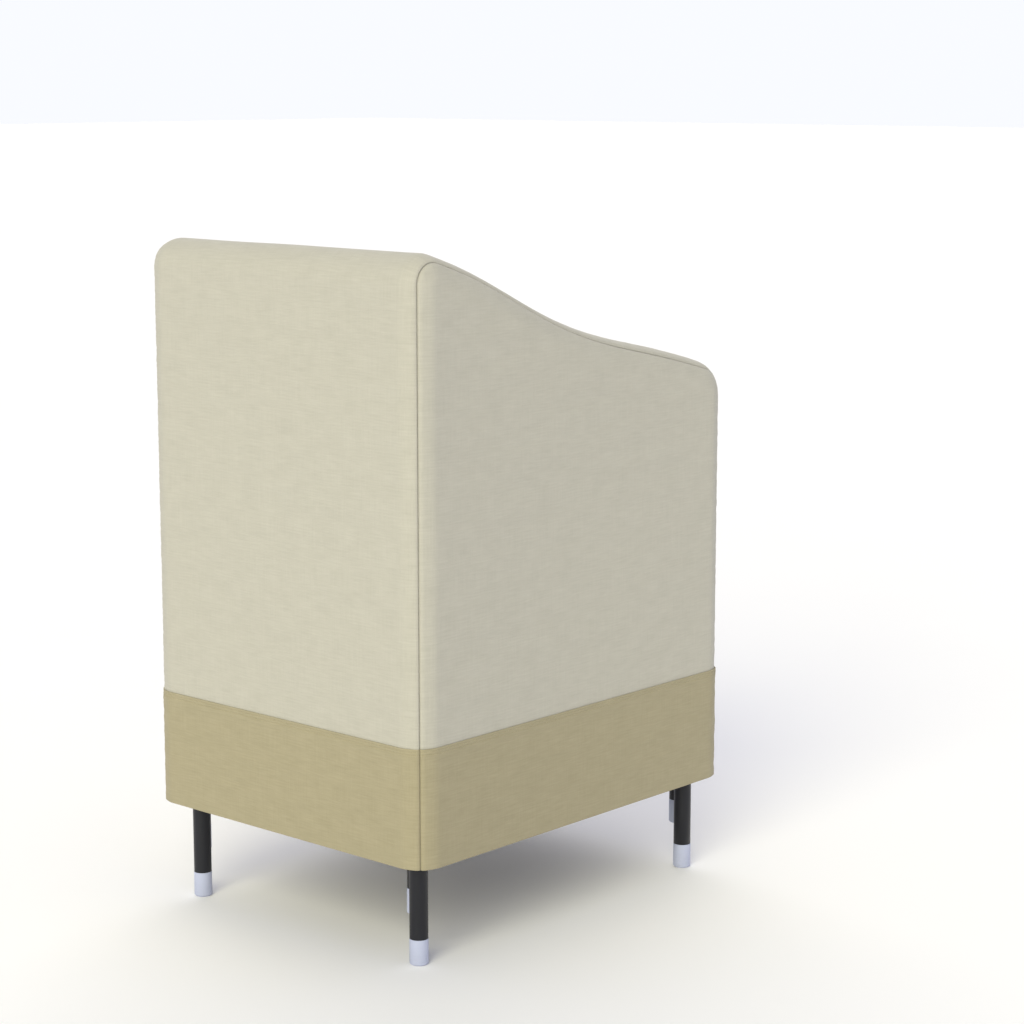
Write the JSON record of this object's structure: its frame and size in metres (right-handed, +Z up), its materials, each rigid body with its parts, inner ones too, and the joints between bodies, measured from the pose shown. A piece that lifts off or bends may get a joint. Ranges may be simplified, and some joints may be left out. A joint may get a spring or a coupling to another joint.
{
  "type": "stacked chairs under a cover",
  "caption": "Sling armchairs stacked one on the other under a fitted two-tone cloth cover that lifts off, with a webbing strap and side-release buckle at the hem.",
  "frame": {"origin": "on the floor, under the middle of the whole", "axes": "+Z up, the chairs face -Y, their backs are at +Y"},
  "size_m": [0.6508, 0.8124, 1.1607],
  "materials": {
    "cover_cloth": "coated woven polyester, matt",
    "band_cloth": "coated woven polyester, matt",
    "binding": "folded tape",
    "webbing": "woven strap",
    "buckle": "moulded, fine grain",
    "tube": "satin powder coat",
    "rail": "satin powder coat",
    "sling": "open woven sling",
    "arm_pad": "moulded, matt",
    "foot_cap": "moulded, semi-matt",
    "tube_plug": "moulded, matt",
    "rubber": "matt"
  },
  "bodies": {
    "lower_chair": {"lower_front_leg_arm_left": "tube", "lower_front_leg_arm_right": "tube", "lower_back_posts": "tube", "lower_seat_frame": "tube", "lower_back_rail": "tube", "lower_footrest": "tube", "lower_sling_rail_left": "rail", "lower_sling_rail_right": "rail", "lower_sling": "sling", "lower_arm_pads": "arm_pad", "lower_foot_caps": "foot_cap", "lower_tube_plugs": "tube_plug", "lower_stack_stops": "rubber", "lower_stack_pads": "rubber"},
    "upper_chair": {"upper_front_leg_arm_left": "tube", "upper_front_leg_arm_right": "tube", "upper_back_posts": "tube", "upper_seat_frame": "tube", "upper_back_rail": "tube", "upper_footrest": "tube", "upper_sling_rail_left": "rail", "upper_sling_rail_right": "rail", "upper_sling": "sling", "upper_arm_pads": "arm_pad", "upper_foot_caps": "foot_cap", "upper_tube_plugs": "tube_plug", "upper_stack_stops": "rubber", "upper_stack_pads": "rubber"},
    "cover": {"cover_centre_panel": "cover_cloth", "cover_side_left": "cover_cloth", "cover_side_right": "cover_cloth", "seam_binding_left": "binding", "seam_binding_right": "binding", "hem_band_back": "band_cloth", "hem_band_front": "band_cloth", "hem_band_left": "band_cloth", "hem_band_right": "band_cloth", "hem_fold": "band_cloth", "webbing_left": "webbing", "webbing_right": "webbing", "webbing_keepers": "webbing", "buckle_socket": "buckle"},
    "buckle_plug": {"buckle_plug": "buckle"}
  },
  "joints": [
    {"name": "upper_chair_lift", "type": "slide", "parent": "lower_chair", "child": "upper_chair", "axis": [0, 0, 1], "range_m": [0, 1.2]},
    {"name": "cover_lift", "type": "slide", "parent": "upper_chair", "child": "cover", "axis": [0, 0, 1], "range_m": [0, 1.2]},
    {"name": "buckle_release", "type": "slide", "parent": "cover", "child": "buckle_plug", "axis": [1, 0, 0], "range_m": [0, 0.03]}
  ]
}
